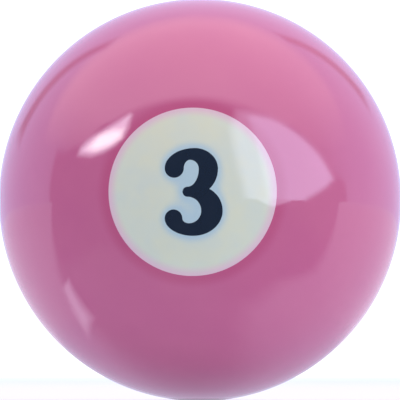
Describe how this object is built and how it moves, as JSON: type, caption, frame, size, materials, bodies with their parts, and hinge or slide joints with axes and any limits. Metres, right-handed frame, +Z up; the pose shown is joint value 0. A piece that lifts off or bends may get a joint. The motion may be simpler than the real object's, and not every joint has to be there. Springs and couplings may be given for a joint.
{
  "type": "numbered pool ball",
  "caption": "Solid cast resin pool ball with a numeral in a round ivory disc on two opposite sides, all flush with the sphere.",
  "frame": {"origin": "centre of the ball", "axes": "+Z up through the numerals' heads, -Y out of the middle of the front number disc, +Y out of the back one, +X to the right when the front number is read"},
  "size_m": [0.0572, 0.0572, 0.0572],
  "materials": {
    "rose_resin": "polished cast phenolic resin",
    "ivory_resin": "polished cast phenolic resin",
    "navy_resin": "polished cast phenolic resin"
  },
  "bodies": {
    "root": {"ball_body": "rose_resin", "front_number_disc": "ivory_resin", "front_numeral": "navy_resin", "back_number_disc": "ivory_resin", "back_numeral": "navy_resin"}
  },
  "joints": []
}
